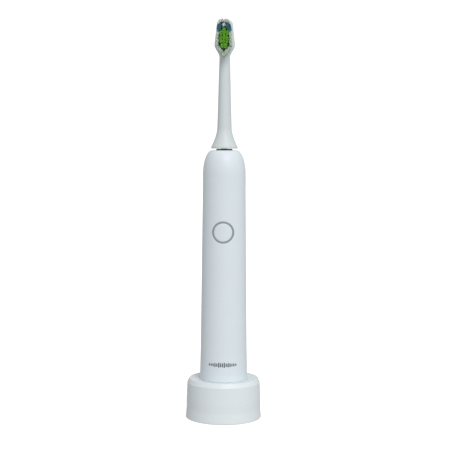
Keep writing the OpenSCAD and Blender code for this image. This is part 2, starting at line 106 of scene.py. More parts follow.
FOOT_Z = housing_low.z
FOOT_R = housing_high.x
CHARGER_DISH = 0.6
CHARGER_LOW = HANDLE_Z - 0.1
CHARGER_TOP = CHARGER_LOW + CHARGER_DISH
TOP_R = 22.7
BELLY_R = TOP_R + 0.35
BELLY_Z = FOOT_Z + 6.2
RIM_W = 1.2
RIM_EDGE = 0.2
RIM_Z = CHARGER_TOP - 2.7
DISH_R = HANDLE_FOOT_R + 0.4
SEAT_R = HANDLE_FOOT_R - 0.3
POST_R = 4.2
POST_TOP = housing_high.z
POST_WALL = 1.2
POST_DOME = 1.2
HOUSING_ROOF = CHARGER_LOW - 2
HOUSING_INNER_R = TOP_R - 1.8
HOUSING_MOUTH_R = HOUSING_INNER_R + 0.4
GLAND_Z = (gland_low.z + gland_high.z) / 2
GLAND_R = 2.8
GLAND_BORE_R = 1.7
TAPER_Z = GLAND_Z + 2.5
PAD_R = 3.2
PAD_RING_R = feet_high.x - PAD_R
PAD_H = feet_high.z
BOSS_RING_R = 15.6
BOSS_R = 2.6
PILOT_R = 0.9

HEAD_Z = head_low.z
HEAD_LEN = head_high.z - HEAD_Z
SKIRT_R = 8.15
SKIRT_RIM = 1.0
SKIRT_H = 11.5
SKIRT_WALL = 1.1
SKIRT_POWER = 1.6
NECK_R = 4.45
INSERT_R = insert_high.x
PLATE_DEPTH = 2.1
PLATE_EDGE = 0.7
PLATE_TIP_R = 2.4
SHAFT_HOLE_R = 1.98

# Neck above the skirt: (height above the skirt's edge, radius)
NECK = [(SKIRT_RIM + SKIRT_H, NECK_R), (22, 4.12), (38, 3.72), (55, 3.25), (66, 3.0)]
# Discs that the plate's outline is wrapped round: (distance from the middle, height, radius)
PLATE_DISCS = [(0, 58, 3.2), (2.95, 63.4, 3.4), (2.5, HEAD_LEN - PLATE_TIP_R, PLATE_TIP_R)]


# ---------------------------------------------------------------- mesh helpers

def make_piece(name, bm, body, slot, stands_for=(), material=None):
    """Turns a bmesh in millimetres into a smooth-shaded object that rides a body; its material is its
    slot's unless another is given."""
    bmesh.ops.recalc_face_normals(bm, faces=bm.faces)
    bmesh.ops.scale(bm, vec=(MM, MM, MM), verts=bm.verts)
    mesh = bpy.data.meshes.new(name)
    bm.to_mesh(mesh)
    bm.free()
    for polygon in mesh.polygons:
        polygon.use_smooth = True
    piece = bpy.data.objects.new(name, mesh)
    bpy.context.scene.collection.objects.link(piece)
    mesh.materials.append(material or looks[slot])
    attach(piece, body)
    if stands_for:
        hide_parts(*stands_for)


def rounded(corners):
    """Outline through (r, z, fillet) corners with each fillet drawn as an arc."""
    steps = 6
    points = []
    for i, (r, z, fillet) in enumerate(corners):
        if fillet == 0 or i in (0, len(corners) - 1):
            points.append((r, z))
            continue
        here = Vector((r, z))
        before = (Vector(corners[i - 1][:2]) - here).normalized()
        after = (Vector(corners[i + 1][:2]) - here).normalized()
        half = before.angle(after) / 2
        reach = fillet / math.tan(half)
        centre = here + (before + after).normalized() * fillet / math.sin(half)
        start, end = here + before * reach - centre, here + after * reach - centre
        sweep = start.angle_signed(end)
        for k in range(steps + 1):
            turn = -sweep * k / steps
            spoke = Vector((start.x * math.cos(turn) - start.y * math.sin(turn),
                            start.x * math.sin(turn) + start.y * math.cos(turn)))
            points.append(tuple(centre + spoke))
    return points


def quarter(r0, z0, r1, z1, steps):
    """Quarter ellipse from a vertical tangent at (r0, z0) to a level one at (r1, z1)."""
    turns = [math.pi / 2 * k / steps for k in range(steps + 1)]
    return [(r1 + (r0 - r1) * math.cos(t), z0 + (z1 - z0) * math.sin(t)) for t in turns]


def spread(low, high, count):
    """Evenly spaced values from low to high, both included."""
    return [low + (high - low) * i / (count - 1) for i in range(count)]


def between(corners, z):
    """Value at z on the straight lines through (z, value) corners."""
    for (z0, v0), (z1, v1) in zip(corners, corners[1:]):
        if z <= z1:
            return v0 + (v1 - v0) * (z - z0) / (z1 - z0)
    return corners[-1][1]


def eased(low, high, z):
    """0 below low, 1 above high, with a soft step between them."""
    t = min(1, max(0, (z - low) / (high - low)))
    return t * t * (3 - 2 * t)


def join(bm, low, high, j):
    """Face from column j to the next between two rings of points; a ring of one point is a tip."""
    k = (j + 1) % max(len(low), len(high))
    if len(low) == 1:
        bm.faces.new((low[0], high[k], high[j]))
    elif len(high) == 1:
        bm.faces.new((low[j], low[k], high[0]))
    else:
        bm.faces.new((low[j], low[k], high[k], high[j]))


def loft(bm, rings, closed=False):
    """Joins each ring of points to the next all the way round, and the last to the first if closed."""
    following = rings[1:] + rings[:1] if closed else rings[1:]
    for low, high in zip(rings, following):
        count = max(len(low), len(high))
        for j in range(count if count > 1 else 0):
            join(bm, low, high, j)


def lathe(bm, outline, centre=(0, 0, 0), about_y=False, around=64):
    """Closed skin turned through (r, height) points about an upright axis, or about +Y."""
    rings = []
    for r, height in outline:
        turns = [2 * math.pi * j / around for j in range(around if r > ON_AXIS else 1)]
        flat = [(r * math.cos(t), r * math.sin(t)) for t in turns]
        spots = [(x, height, y) if about_y else (x, y, height) for x, y in flat]
        rings.append([bm.verts.new(Vector(spot) + Vector(centre)) for spot in spots])
    loft(bm, rings, closed=len(rings[0]) > 1)


def ring_places(count, radius, first=0):
    """Points spaced evenly round the axis, first one at an angle in degrees."""
    turns = [math.radians(first + 360 * i / count) for i in range(count)]
    return [(radius * math.cos(t), radius * math.sin(t), 0) for t in turns]


class Turning:
    """A turned surface made of rings, which can have a round hole bored through its side."""

    def __init__(self, facing):
        self.bm = bmesh.new()
        self.facing = facing
        self.rings = []

    def ring(self, r, z):
        """Adds a ring of points, or one point on the axis."""
        if r < ON_AXIS:
            self.rings.append([self.bm.verts.new((0, 0, z))])
            return
        turns = [2 * math.pi * j / AROUND for j in range(AROUND)]
        self.rings.append([
            self.bm.verts.new((r * math.sin(t), self.facing * r * math.cos(t), z)) for t in turns
        ])

    def add(self, outline):
        """Adds rings through (r, z) points and returns the index of the first."""
        first = len(self.rings)
        for r, z in outline:
            self.ring(r, z)
        return first

    def skin(self, windows):
        """Joins each ring to the next, leaving out windows (first ring, last ring, half columns)."""
        following = self.rings[1:] + self.rings[:1]
        for i, (low, high) in enumerate(zip(self.rings, following)):
            if len(low) == len(high) == 1:
                continue
            for j in range(AROUND):
                nearest = min(j, AROUND - 1 - j)
                if not any(a <= i < b and nearest < k for a, b, k in windows):
                    join(self.bm, low, high, j)

    def border(self, window):
        """The window's edge as one loop of points, from its lower left corner along the bottom."""
        first, last, half = window
        rows = self.rings[first:last + 1]
        if rows[0][0].co.z > rows[-1][0].co.z:
            rows = rows[::-1]
        columns = [j % AROUND for j in range(-half, half + 1)]
        loop = [rows[0][j] for j in columns]
        loop += [row[columns[-1]] for row in rows[1:-1]]
        loop += [rows[-1][j] for j in columns[::-1]]
        loop += [row[columns[0]] for row in rows[-2:0:-1]]
        return loop

    def radius_at(self, window, z):
        """Radius of the turned surface inside a window, at height z."""
        first, last, _ = window
        spots = [(self.rings[i][0].co.z, abs(self.rings[i][0].co.y)) for i in range(first, last + 1)]
        for (z0, r0), (z1, r1) in zip(spots, spots[1:]):
            if min(z0, z1) <= z <= max(z0, z1):
                return r0 + (r1 - r0) * (z - z0) / (z1 - z0)
        return spots[0][1] if abs(z - spots[0][0]) < abs(z - spots[-1][0]) else spots[-1][1]

    def fill_window(self, window, centre_z, hole):
        """Fills a window round a hole and returns the hole's last ring; hole is
        [(radius, depth below the surface)] going inwards."""
        outer = self.border(window)
        turns = [math.atan2(v.co.z - centre_z, v.co.x) for v in outer]
        previous = outer
        blend = [0.2, 0.4, 0.6, 0.8]
        steps = [(hole[0][0], 0.0, t) for t in blend] + [(r, depth, 1.0) for r, depth in hole]
        for radius, depth, t in steps:
            points = []
            for v, turn in zip(outer, turns):
                x = v.co.x * (1 - t) + radius * math.cos(turn) * t
                z = v.co.z * (1 - t) + (centre_z + radius * math.sin(turn)) * t
                surface = math.sqrt(max(self.radius_at(window, z) ** 2 - x * x, 0))
                points.append(self.bm.verts.new((x, self.facing * (surface - depth), z)))
            loft(self.bm, [previous, points])
            previous = points
        return previous


# ---------------------------------------------------------------- materials

# Sockets of a colour mix node: the two colours going in and the one coming out
MIX_UNDER, MIX_OVER, MIX_RESULT = 6, 7, 2


class Look:
    """A node material around one Principled shader, reading the piece's own coordinates."""

    def __init__(self, name, colour, roughness, **sockets):
        self.material = bpy.data.materials.new(name)
        self.material.use_nodes = True
        self.tree = self.material.node_tree
        self.shader = self.tree.nodes["Principled BSDF"]
        self.shader.inputs["Base Color"].default_value = (*colour, 1)
        self.shader.inputs["Roughness"].default_value = roughness
        for socket, value in sockets.items():
            self.shader.inputs[socket.replace("_", " ")].default_value = value
        self.colour = None
        self.height = None
        self.place = self.node("ShaderNodeTexCoord").outputs["Object"]

    def node(self, kind, inputs=None, **settings):
        """Adds a node; an input is another node's output to link, or a value."""
        node = self.tree.nodes.new(kind)
        for key, value in settings.items():
            setattr(node, key, value)
        for key, value in (inputs or {}).items():
            if isinstance(value, bpy.types.NodeSocket):
                self.tree.links.new(value, node.inputs[key])
            else:
                node.inputs[key].default_value = value
        return node

    def stretched(self, scale):
        """The piece's coordinates scaled by a different amount each way."""
        mapping = self.node("ShaderNodeMapping", {"Vector": self.place, "Scale": scale})
        return mapping.outputs["Vector"]

    def noise(self, size_mm, detail, rough=0.5, stretch=None):
        """Noise with features of about a size, stretched where wanted."""
        vector = self.stretched(stretch) if stretch else self.place
        noise = self.node("ShaderNodeTexNoise", {
            "Vector": vector, "Scale": 1 / (size_mm * MM), "Detail": detail, "Roughness": rough})
        return noise.outputs["Fac"]

    def ranged(self, value, low, high, to_low, to_high):
        """Maps low to to_low and high to to_high, clamped outside."""
        ranged = self.node("ShaderNodeMapRange", {
            "Value": value, "From Min": low, "From Max": high, "To Min": to_low, "To Max": to_high})
        return ranged.outputs["Result"]

    def edges(self):
        """Near 1 on outward edges and 0 elsewhere."""
        return self.ranged(self.node("ShaderNodeNewGeometry").outputs["Pointiness"], 0.52, 0.6, 0, 1)

    def hollows(self):
        """Near 1 in creases and 0 elsewhere."""
        return self.ranged(self.node("ShaderNodeNewGeometry").outputs["Pointiness"], 0.40, 0.48, 1, 0)

    def tint(self, factor, colour):
        """Mixes a colour over what is there, by a factor."""
        base = self.colour
        mix = self.node("ShaderNodeMix", data_type="RGBA")
        self.tree.links.new(factor, mix.inputs["Factor"])
        if base is None:
            mix.inputs[MIX_UNDER].default_value = self.shader.inputs["Base Color"].default_value
        else:
            self.tree.links.new(base, mix.inputs[MIX_UNDER])
        mix.inputs[MIX_OVER].default_value = (*colour, 1)
        self.colour = mix.outputs[MIX_RESULT]
        self.tree.links.new(self.colour, self.shader.inputs["Base Color"])

    def roughen(self, value, low, high, to_low, to_high):
        """Varies the roughness from to_low to to_high with a value."""
        result = self.ranged(value, low, high, to_low, to_high)
        self.tree.links.new(result, self.shader.inputs["Roughness"])

    def bump(self, height, distance_mm, strength):
        """Adds a bump; a second call goes on top of the first."""
        bump = self.node("ShaderNodeBump", {
            "Height": height, "Distance": distance_mm * MM, "Strength": strength})
        if self.height is not None:
            self.tree.links.new(self.height, bump.inputs["Normal"])
        self.height = bump.outputs["Normal"]
        self.tree.links.new(self.height, self.shader.inputs["Normal"])


def gloss_white(name, colour, roughness, dust_and_shade):
    """Injection-moulded white plastic: faint flow mottling, micro texture, fine specks and painted shade
    darkening its creases.
    """
    look = Look(name, colour, roughness, Specular_IOR_Level=0.25, Subsurface_Weight=0.06,
                Subsurface_Scale=0.002, Coat_Weight=0.04, Coat_Roughness=0.3)
    look.tint(look.ranged(look.noise(14, 4), 0.35, 0.75, 0, 0.35), tuple(c * 0.95 for c in colour))
    look.tint(look.ranged(look.noise(1.4, 5, 0.65), 0.62, 0.8, 0, 0.2), dust_and_shade)
    # Painted shade: creases are darkened with a deeper tone of the speck colour.
    look.tint(look.hollows(), tuple(c * 0.72 for c in dust_and_shade))
    look.roughen(look.noise(6, 5, 0.6), 0.3, 0.7, roughness - 0.05, roughness + 0.08)
    look.bump(look.noise(0.35, 2), 0.006, 0.35)
    look.bump(look.noise(9, 2), 0.03, 0.25)
    return look.material


def matt_plastic(name, colour, roughness=0.55, grain_mm=0.25, depth_mm=0.03, worn=True):
    """Spark-eroded matt plastic, lighter along its edges if it is worn."""
    look = Look(name, colour, roughness, Specular_IOR_Level=0.4)
    look.tint(look.ranged(look.noise(4, 4), 0.35, 0.7, 0, 0.4), tuple(c * 0.86 for c in colour))
    if worn:
        look.tint(look.edges(), tuple(min(1, c * 1.25 + 0.02) for c in colour))
    look.roughen(look.noise(2.5, 4), 0.3, 0.7, roughness - 0.07, roughness + 0.1)
    look.bump(look.noise(grain_mm, 3), depth_mm, 0.6)
    return look.material


def rubber(name, colour, roughness=0.68):
    """Moulded elastomer with a fine tooth and a little dust in it."""
    look = Look(name, colour, roughness, Specular_IOR_Level=0.35, Sheen_Weight=0.08, Sheen_Roughness=0.5)
    look.tint(look.ranged(look.noise(0.9, 5, 0.7), 0.5, 0.8, 0, 0.35), tuple(c * 1.3 + 0.02 for c in colour))
    look.tint(look.edges(), tuple(c * 1.35 + 0.03 for c in colour))
    look.roughen(look.noise(1.2, 4), 0.3, 0.7, roughness - 0.08, roughness + 0.12)
    look.bump(look.noise(0.18, 3, 0.6), 0.02, 0.6)
    return look.material


def metal(name, colour, roughness, stretch, worn):
    """Metal with fine drawn or turned lines, stained in patches and bright along its edges."""
    look = Look(name, colour, roughness, Metallic=1.0)
    look.tint(look.ranged(look.noise(3, 5, 0.65), 0.4, 0.75, 0, 0.5), worn)
    look.tint(look.edges(), tuple(min(1, c * 1.2 + 0.05) for c in colour))
    lines = look.noise(0.5, 3, 0.6, stretch)
    look.roughen(lines, 0.3, 0.7, roughness - 0.08, roughness + 0.12)
    look.bump(lines, 0.01, 0.5)
    return look.material


def winding(name, colour):
    """Enamelled wire laid in turns: a wave along Z gives the wires, noise breaks it up."""
    pitch_mm = 0.32
    look = Look(name, colour, 0.3, Metallic=0.85, Coat_Weight=0.5, Coat_Roughness=0.15)
    wave = look.node("ShaderNodeTexWave", {
        "Vector": look.place, "Scale": 0.314 / (pitch_mm * MM), "Distortion": 0.6,
        "Detail": 1.0, "Detail Scale": 0.4}, wave_type="BANDS", bands_direction="Z")
    look.tint(look.ranged(wave.outputs["Fac"], 0.0, 0.45, 0.85, 0), (0.09, 0.03, 0.012))
    look.tint(look.ranged(look.noise(2, 4), 0.5, 0.8, 0, 0.4), tuple(c * 0.6 for c in colour))
    look.bump(wave.outputs["Fac"], 0.12, 0.9)
    return look.material


def circuit_board(name):
    """Green solder mask with copper tracks showing through it and a row of tinned pads."""
    look = Look(name, (0.012, 0.16, 0.07), 0.32, Specular_IOR_Level=0.5, Coat_Weight=0.3,
                Coat_Roughness=0.2)
    tracks = look.node("ShaderNodeTexBrick", {
        "Vector": look.place, "Scale": 320.0, "Color1": (0, 0, 0, 1), "Color2": (0.25, 0.25, 0.25, 1),
        "Mortar": (1, 1, 1, 1), "Mortar Size": 0.035, "Brick Width": 0.9, "Row Height": 0.4})
    look.tint(tracks.outputs["Color"], (0.03, 0.30, 0.13))
    pads = look.node("ShaderNodeTexVoronoi", {"Vector": look.place, "Scale": 420.0},
                     feature="DISTANCE_TO_EDGE")
    look.tint(look.ranged(pads.outputs["Distance"], 0.42, 0.46, 0, 0.8), (0.62, 0.60, 0.56))
    look.roughen(look.noise(2, 4), 0.3, 0.7, 0.26, 0.42)
    look.bump(tracks.outputs["Color"], 0.03, 0.6)
    return look.material


def sleeve(name, colour):
    """Glossy shrink sleeve with soft wrinkles running round it."""
    look = Look(name, colour, 0.28, Specular_IOR_Level=0.5, Coat_Weight=0.2, Coat_Roughness=0.15)
    look.tint(look.ranged(look.noise(5, 4), 0.35, 0.7, 0, 0.5), tuple(c * 0.7 for c in colour))
    look.tint(look.edges(), tuple(min(1, c * 1.5 + 0.05) for c in colour))
    look.roughen(look.noise(1.5, 4), 0.3, 0.7, 0.2, 0.38)
    look.bump(look.noise(1.6, 3, 0.5, (0.4, 0.4, 1.6)), 0.08, 0.4)
    return look.material


def printed(name, colour):
    """Thin pad-printed ink with a fine speckle."""
    look = Look(name, colour, 0.45, Specular_IOR_Level=0.45)
    look.tint(look.ranged(look.noise(0.5, 4, 0.6), 0.45, 0.8, 0, 0.5), tuple(c * 1.25 for c in colour))
    look.roughen(look.noise(1.0, 3), 0.3, 0.7, 0.38, 0.52)
    look.bump(look.noise(0.2, 2), 0.006, 0.4)
    return look.material


def bristle(name, root, tip, variation):
    """Translucent nylon filament: its colour shifts from strand to strand, and painted light makes it lighter
    towards the tip.
    """
    look = Look(name, root, 0.38, Specular_IOR_Level=0.5, Subsurface_Weight=0.5,
                Subsurface_Radius=(1, 1, 1), Subsurface_Scale=0.0008)
    strand = look.node("ShaderNodeAttribute", attribute_name="strand").outputs["Fac"]
    along = look.node("ShaderNodeAttribute", attribute_name="along").outputs["Fac"]
    # Painted light: the outer part of each filament is lightened towards its tip, leaving the roots darker as
    # if in shade.
    look.tint(look.ranged(along, 0.55, 1.0, 0, 0.75), tip)
    look.tint(look.ranged(strand, 0.2, 1.0, 0, 0.6), variation)
    look.roughen(look.noise(0.4, 3), 0.3, 0.7, 0.32, 0.5)
    look.bump(look.noise(0.12, 2), 0.01, 0.4)
    return look.material


looks = {
    # The last colour of each white serves its specks and, made deeper, the painted shade in its creases.
    "white_gloss": gloss_white("white_gloss", (0.715, 0.77, 0.795), 0.42, (0.655, 0.695, 0.705)),
    "handle_white": gloss_white("handle_white", (0.69, 0.755, 0.80), 0.42, (0.64, 0.69, 0.73)),
    "neck_white": gloss_white("neck_white", (0.61, 0.665, 0.68), 0.46, (0.56, 0.61, 0.62)),
    "base_grey": matt_plastic("base_grey", (0.52, 0.54, 0.55), worn=False),
    "chassis_grey": matt_plastic("chassis_grey", (0.20, 0.215, 0.23)),
    "bobbin_nylon": matt_plastic("bobbin_nylon", (0.72, 0.69, 0.58), 0.45, 0.4, 0.02),
    "chip_black": matt_plastic("chip_black", (0.018, 0.018, 0.02), 0.5, 0.12, 0.02),
    "ferrite": matt_plastic("ferrite", (0.03, 0.03, 0.034), 0.6, 0.15, 0.04),
    "lead_red": matt_plastic("lead_red", (0.45, 0.025, 0.02), 0.42, 0.5, 0.01),
    "ring_grey": rubber("ring_grey", (0.27, 0.305, 0.335), 0.6),
    "gland_grey": rubber("gland_grey", (0.24, 0.26, 0.28)),
    "dark_rubber": rubber("dark_rubber", (0.225, 0.23, 0.235)),
    "screw_steel": metal("screw_steel", (0.60, 0.61, 0.62), 0.3, (1, 1, 1), (0.42, 0.41, 0.38)),
    "shaft_steel": metal("shaft_steel", (0.66, 0.67, 0.69), 0.22, (0.3, 0.3, 4), (0.50, 0.50, 0.51)),
    "motor_steel": metal("motor_steel", (0.52, 0.54, 0.56), 0.34, (3, 3, 0.2), (0.36, 0.37, 0.38)),
    "nickel_strip": metal("nickel_strip", (0.64, 0.62, 0.57), 0.3, (4, 0.3, 1), (0.48, 0.45, 0.38)),
    "bearing_bronze": metal("bearing_bronze", (0.62, 0.40, 0.17), 0.42, (1, 1, 1), (0.36, 0.22, 0.10)),
    "magnet_dark": metal("magnet_dark", (0.30, 0.31, 0.33), 0.38, (1, 1, 0.3), (0.18, 0.18, 0.19)),
    "copper_wire": winding("copper_wire", (0.66, 0.25, 0.09)),
    "circuit_board": circuit_board("circuit_board"),
    "capacitor_sleeve": sleeve("capacitor_sleeve", (0.015, 0.025, 0.12)),
    "battery_wrap": sleeve("battery_wrap", (0.025, 0.12, 0.33)),
    # Bristle colours: root, a lighter tip that is painted light, and the strand variation.
    "bristle_white": bristle("bristle_white", (0.93, 0.945, 0.945), (0.98, 0.985, 0.985), (0.95, 0.96, 0.96)),
    "bristle_green": bristle("bristle_green", (0.10, 0.60, 0.015), (0.22, 0.74, 0.04), (0.40, 0.84, 0.12)),
    "bristle_pale": bristle("bristle_pale", (0.66, 0.90, 0.60), (0.87, 0.99, 0.82), (0.86, 0.98, 0.80)),
    "bristle_blue": bristle("bristle_blue", (0.025, 0.17, 0.22), (0.06, 0.29, 0.35), (0.12, 0.42, 0.47)),
}
slot_of = {s["node"]: s["material_slot"] for s in frame["record"]["subparts"]}
ink = printed("mark_ink", (0.13, 0.15, 0.17))


# ---------------------------------------------------------------- handle

def handle_radius(z):
    """Outside radius of the handle at height z, below the shoulder."""
    return between([(HANDLE_Z, HANDLE_FOOT_R), (WAIST_Z, WAIST_R), (SHOULDER_Z, SHOULDER_R)], z)


def build_handle():
    """Handle shell: taper, domed shoulder, round opening for the button and a flat collar seat."""
    window_half, window_rows, half_columns = 9.0, 25, 27
    row_gap, shoulder_gap = 0.8, 0.6
    foot_edge, foot_top = 0.3, HANDLE_Z + 1.2
    roof, roof_r, collar_r = HANDLE_TOP - WALL, 7, COLLAR_R + 0.05
    hole_r = RING_R + 0.03
    shell = Turning(FRONT)
    low_rows = spread(foot_top, BUTTON_Z - window_half - row_gap, 60)
    window = spread(BUTTON_Z - window_half, BUTTON_Z + window_half, window_rows)
    high_rows = spread(BUTTON_Z + window_half + row_gap, SHOULDER_Z - shoulder_gap, 22)
    foot = rounded([(END_CAP_R, HANDLE_Z, 0), (HANDLE_FOOT_R, HANDLE_Z, foot_edge),
                    (handle_radius(foot_top), foot_top, 0)])[:-1]
    shell.add(foot)
    shell.add([(handle_radius(z), z) for z in low_rows])
    outer_first = shell.add([(handle_radius(z), z) for z in window])
    shell.add([(handle_radius(z), z) for z in high_rows])
    shell.add(quarter(SHOULDER_R, SHOULDER_Z, SHOULDER_TOP_R, HANDLE_TOP, 28))
    shell.add([(collar_r + 0.2, HANDLE_TOP), (collar_r, HANDLE_TOP - 0.2), (collar_r, roof)])
    shell.add(quarter(SHOULDER_R - WALL, SHOULDER_Z, roof_r, roof, 8)[::-1])
    shell.add([(handle_radius(z) - WALL, z) for z in high_rows[-1:]])
    inner_first = shell.add([(handle_radius(z) - WALL, z) for z in window[::-1]])
    shell.add([(handle_radius(END_CAP_TOP + 2) - WALL, END_CAP_TOP + 2), (END_CAP_R, END_CAP_TOP)])
    outer = (outer_first, outer_first + window_rows - 1, half_columns)
    inner = (inner_first, inner_first + window_rows - 1, half_columns)
    shell.skin(windows=(outer, inner))
    rim = shell.fill_window(outer, BUTTON_Z, [
        (hole_r + 0.35, 0), (hole_r + 0.16, 0.015), (hole_r + 0.05, 0.07), (hole_r, 0.18), (hole_r, 0.8)])
    inside = shell.fill_window(inner, BUTTON_Z, [(hole_r, 0)])
    loft(shell.bm, [rim, inside])
    make_piece("handle_shell_moulding", shell.bm, "handle", "handle_white", ["handle_shell"])


def over_button(skin, back, closed):
    """Solid behind the button's face: skin is [(distance from its centre, height above the handle)]
    and follows the handle's curve, back is [(distance, y)] and is flat."""
    around = 160
    bm = bmesh.new()
    rings = []
    for distance, height, follows in [(*p, True) for p in skin] + [(*p, False) for p in back]:
        ring = []
        for j in range(around if distance > ON_AXIS else 1):
            turn = 2 * math.pi * j / around
            x, z = distance * math.cos(turn), BUTTON_Z + distance * math.sin(turn)
            y = -(math.sqrt(handle_radius(z) ** 2 - x * x) + height) if follows else height
            ring.append(bm.verts.new((x, y, z)))
        rings.append(ring)
    loft(bm, rings, closed)
    return bm


def build_button():
    """Soft ring with its flange and bellows behind the shell, and the hard cap inside it."""
    outer, inner = RING_R - 0.02, BUTTON_R + 0.05
    middle = (outer + inner) / 2
    thick, collar_r = 0.6, PLUNGER_HOLE_R + 1.2
    web = RING_BACK - 1.4
    skin = [(inner, -0.20), (inner + 0.06, -0.09), (inner + 0.16, -0.05), (middle, -0.03),
            (outer - 0.16, -0.05), (outer - 0.06, -0.09), (outer, -0.20)]
    back = [(outer, RING_BACK - thick), (RING_FLANGE_R, RING_BACK - thick), (RING_FLANGE_R, RING_BACK),
            (inner, RING_BACK), (inner, web + thick), (collar_r, web + thick),
            (PLUNGER_HOLE_R, web + thick), (PLUNGER_HOLE_R, web), (collar_r, web), (inner, web)]
    make_piece("button_ring_moulding", over_button(skin, back, closed=True), "handle", "ring_grey",
               ["button_seal_ring"])
    skin = [(0, 0.05), (1.2, 0.05), (2.4, 0.045), (3.6, 0.035), (4.6, 0.02), (BUTTON_R - 0.5, 0.0),
            (BUTTON_R - 0.25, -0.03), (BUTTON_R - 0.08, -0.10), (BUTTON_R, -0.25)]
    back = [(BUTTON_R, cap_high.y), (0, cap_high.y)]
    make_piece("button_cap_moulding", over_button(skin, back, closed=False), "power_button",
               "handle_white", ["button_cap"])


def build_mark():
    """Generic printed mark low on the handle: a row of round-ended bars in a burst."""
    bars, width, pitch, tallest, shortest = 15, 0.78, 1.16, 3.4, 1.3
    proud, sunk, corner_points = 0.02, 0.08, 8
    ripple_depth, ripple_turn = 0.28, 2.4
    bm = bmesh.new()
    for i in range(bars):
        centre = (i - (bars - 1) / 2) * pitch
        swell = math.cos(math.pi * centre / (bars * pitch))
        ripple = 1 - ripple_depth + ripple_depth * math.cos(i * ripple_turn)
        half = (shortest + (tallest - shortest) * swell * ripple) / 2
        outline = []
        for end in (1, -1):
            for k in range(corner_points):
                turn = math.pi * k / (corner_points - 1)
                outline.append((centre + end * width / 2 * math.cos(turn),
                                MARK_Z + end * (half - width / 2 + width / 2 * math.sin(turn))))
        rings = []
        for depth in (-sunk, proud):
            rings.append([bm.verts.new((x, -(math.sqrt(handle_radius(z) ** 2 - x * x) + depth), z))
                          for x, z in outline])
        loft(bm, rings)
        for ring in rings:
            bm.faces.new(ring)
    make_piece("printed_mark", bm, "handle", "ring_grey", material=ink)


def build_seal():
    """Rubber seal: a lip inside the handle, and the collar that shows in the gap under the brush head."""
    lip_r, lip_top, top = seal_high.x, HANDLE_TOP - WALL - 0.02, seal_high.z
    bm = bmesh.new()
    lathe(bm, [(SHAFT_HOLE_R, seal_low.z), *rounded([(3, seal_low.z, 0), (lip_r, seal_low.z, 0.3),
                                                   (lip_r, lip_top, 0.1), (COLLAR_R, lip_top, 0)])[1:],
               *rounded([(COLLAR_R, HANDLE_TOP - 0.6, 0), (COLLAR_R, top, 0.25), (3.4, top, 0.1),
                         (2.9, top - 0.4, 0.1), (SHAFT_HOLE_R, top - 0.4, 0)])], around=96)
    make_piece("shaft_seal_moulding", bm, "handle", slot_of["shaft_seal"], ["shaft_seal"])


# ---------------------------------------------------------------- charger

def side_radius(z):
    """Outside radius of the charger at height z, from its foot to its rim."""
    return between([(FOOT_Z, FOOT_R), (BELLY_Z, BELLY_R), (TAPER_Z, BELLY_R), (RIM_Z, TOP_R)], z)


def build_housing():
    """Charger housing: flared foot, drum, rim, seat, charging post and the hole for the gland."""
    window_half, rows, half_columns, row_gap = 4.5, 19, 8, 0.4
    foot_edge, foot_top = 0.35, FOOT_Z + 1.4
    shelf = plate_high.z + 1
    core_r = POST_R - POST_WALL
    core_top = POST_TOP - POST_WALL
    crest_r = TOP_R - RIM_W - RIM_EDGE
    hole_r = GLAND_R + 0.02
    window = spread(GLAND_Z - window_half, GLAND_Z + window_half, rows)
    drum = Turning(BACK)
    drum.add(rounded([(HOUSING_MOUTH_R, FOOT_Z, 0), (FOOT_R, FOOT_Z, foot_edge),
                      (side_radius(foot_top), foot_top, 0)]))
    drum.add([(side_radius(z), z) for z in spread(foot_top + row_gap, window[0] - row_gap, 5)])
    outer_first = drum.add([(side_radius(z), z) for z in window])
    drum.add([(side_radius(z), z) for z in spread(window[-1] + 0.5, RIM_Z - 0.15, 12)])
    dish = [(DISH_R + (crest_r - DISH_R) * t, CHARGER_LOW + CHARGER_DISH * t)
            for t in (0.9, 0.75, 0.5, 0.25, 0.08, 0)]
    drum.add(rounded([(TOP_R, RIM_Z - 0.1, 0), (TOP_R, RIM_Z, 0.1),
                      (TOP_R - RIM_W, CHARGER_TOP - RIM_EDGE, 0.2),
                      (crest_r, CHARGER_TOP, 0.2), (*dish[0], 0)])[1:])
    drum.add(dish[1:])
    drum.add([(SEAT_R + 0.1, CHARGER_LOW), (SEAT_R, HANDLE_Z), (SEAT_R - 0.2, HANDLE_Z)])
    drum.add(rounded([(POST_R + 4, HANDLE_Z, 0), (POST_R, HANDLE_Z, 0.5), (POST_R, HANDLE_Z + 2, 0)]))
    drum.add([(POST_R, z) for z in spread(HANDLE_Z + 3, POST_TOP - 1.6, 4)])
    drum.add(quarter(POST_R, POST_TOP - POST_DOME, POST_R - POST_DOME, POST_TOP, 8))
    drum.add([(1.5, POST_TOP), (0, POST_TOP), (0, core_top)])
    drum.add([(core_r, core_top), (core_r, HOUSING_ROOF), (HOUSING_INNER_R, HOUSING_ROOF)])
    inner_first = drum.add([(HOUSING_INNER_R, z) for z in window[::-1]])
    drum.add([(HOUSING_INNER_R, shelf), (HOUSING_MOUTH_R, shelf)])
    outer = (outer_first, outer_first + rows - 1, half_columns)
    inner = (inner_first, inner_first + rows - 1, half_columns)
    drum.skin(windows=(outer, inner))
    rim = drum.fill_window(outer, GLAND_Z, [(hole_r + 0.25, 0), (hole_r + 0.07, 0.05), (hole_r, 0.2),
                                            (hole_r, 0.8)])
    inside = drum.fill_window(inner, GLAND_Z, [(hole_r, 0)])
    loft(drum.bm, [rim, inside])
    boss_low, boss_high = plate_high.z, HOUSING_ROOF + 0.3
    for place in ring_places(4, BOSS_RING_R, 45):
        lathe(drum.bm, [(PILOT_R, boss_low), (BOSS_R, boss_low), (BOSS_R, boss_high),
                        (PILOT_R, boss_high)], place, around=32)
    make_piece("charger_housing_moulding", drum.bm, "charger", "white_gloss", ["charger_housing"])


